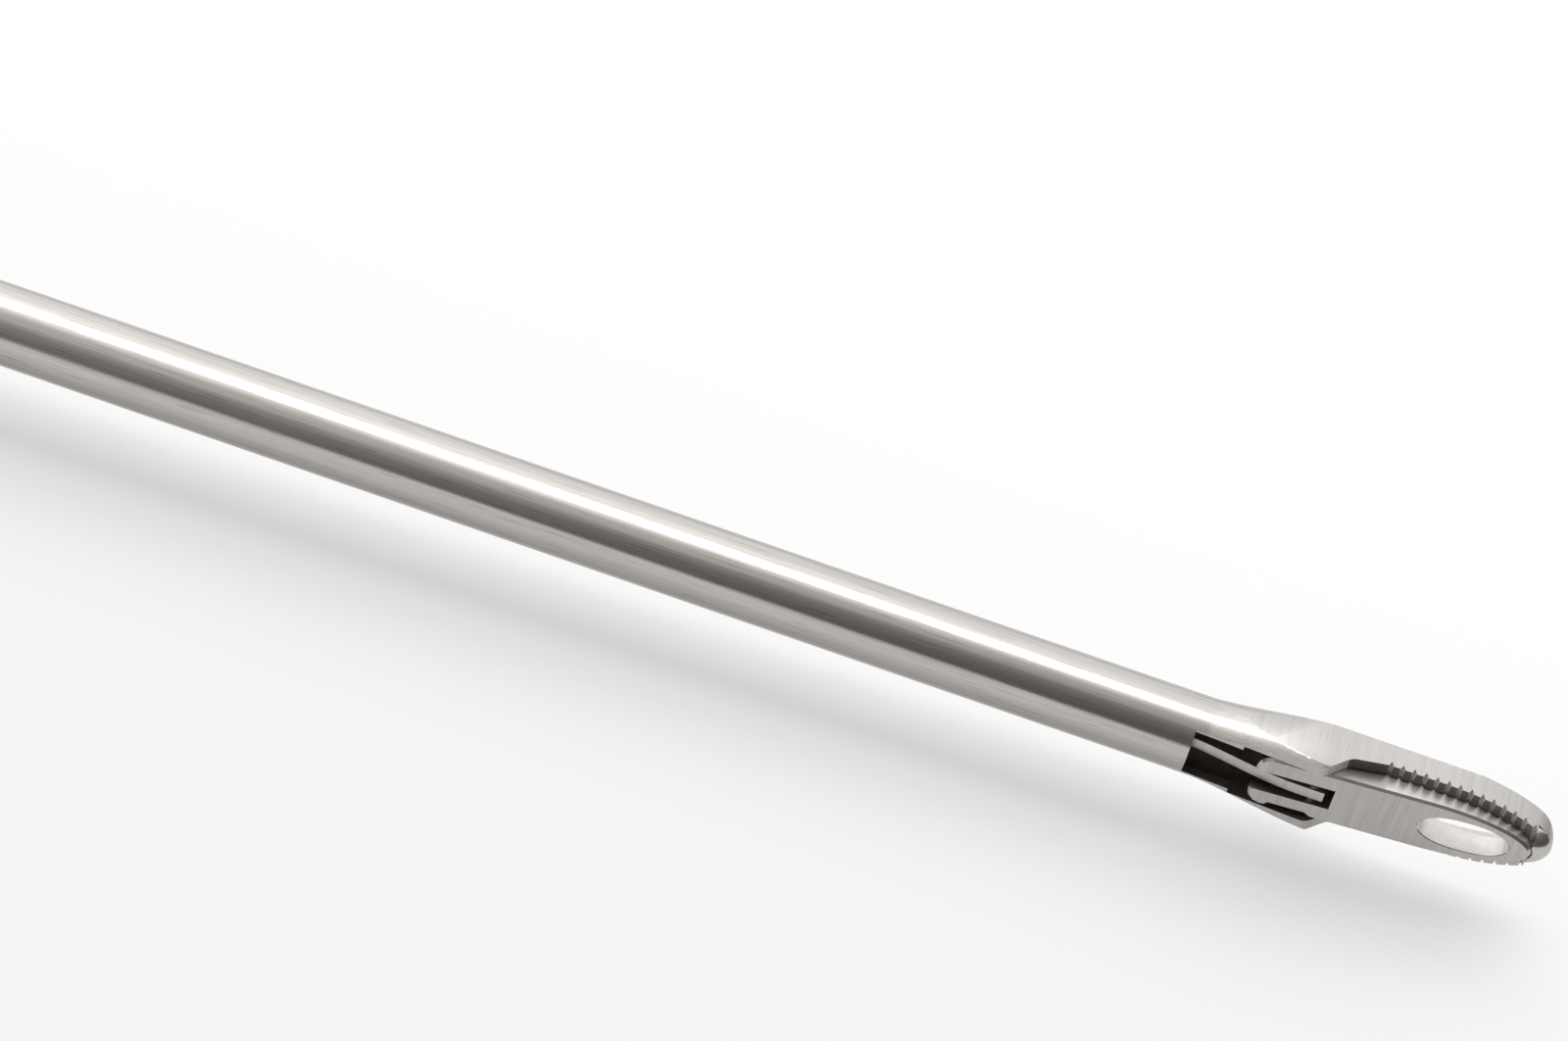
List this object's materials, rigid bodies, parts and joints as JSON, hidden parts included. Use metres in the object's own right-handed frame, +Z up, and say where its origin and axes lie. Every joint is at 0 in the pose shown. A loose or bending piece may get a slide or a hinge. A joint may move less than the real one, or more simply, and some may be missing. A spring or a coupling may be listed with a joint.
{
  "type": "nasal cutting forceps",
  "caption": "Slim tubular forceps with a ring handle; a push rod swings a small windowed cutting jaw shut against a toothed fixed jaw at the tip.",
  "frame": {"origin": "point on the flat underside of the rear handle's head, under the shaft axis", "axes": "+X along the shaft to the tip, +Z up as the forceps lie on their side, +Y towards the handle rings"},
  "size_m": [0.1991, 0.1026, 0.008],
  "materials": {
    "brushed_steel": "satin stainless steel, brushed along the shaft",
    "ground_steel": "flat-ground matt stainless steel",
    "bright_steel": "turned bright stainless steel",
    "bronze": "bearing bronze",
    "seal": "black silicone"
  },
  "bodies": {
    "rear_handle_and_shaft": {"rear_handle": "brushed_steel", "shaft_tube": "brushed_steel", "jaw_pivot_pin": "bright_steel", "shaft_collar": "brushed_steel", "collar_set_screw": "bright_steel", "rod_guide_bush": "bronze", "rod_seal_ring": "seal", "rinse_port": "bright_steel", "rod_end_cap": "bright_steel", "handle_pivot_screw": "bright_steel", "handle_pivot_nut": "bright_steel", "pivot_washer_upper": "bronze", "pivot_washer_lower": "bronze"},
    "front_handle": {"front_handle": "brushed_steel", "drive_pin_upper": "bright_steel", "drive_pin_lower": "bright_steel"},
    "push_rod": {"drive_rod": "ground_steel", "drive_strip": "ground_steel", "strip_rivet_front": "bright_steel", "strip_rivet_rear": "bright_steel", "drive_spool": "ground_steel", "spool_lock_nut": "ground_steel"},
    "cutting_jaw": {"cutting_jaw": "ground_steel", "link_pin": "bright_steel"}
  },
  "joints": [
    {"name": "handle_hinge", "type": "hinge", "parent": "rear_handle_and_shaft", "child": "front_handle", "pos_m": [-0.008, 0.0045, 0.004], "axis": [0, 0, 1], "range_deg": [-10.29, 0]},
    {"name": "rod_slide", "type": "slide", "parent": "rear_handle_and_shaft", "child": "push_rod", "axis": [1, 0, 0], "range_m": [-0.00080365, 0]},
    {"name": "jaw_hinge", "type": "hinge", "parent": "rear_handle_and_shaft", "child": "cutting_jaw", "pos_m": [0.13195, 0.00035, 0.004], "axis": [0, 0, 1], "range_deg": [-45, 0]}
  ],
  "couplings": [
    {"joint": "rod_slide", "follows": "handle_hinge", "m_per_rad": 0.004476},
    {"joint": "jaw_hinge", "follows": "handle_hinge", "ratio": 4.3745}
  ]
}
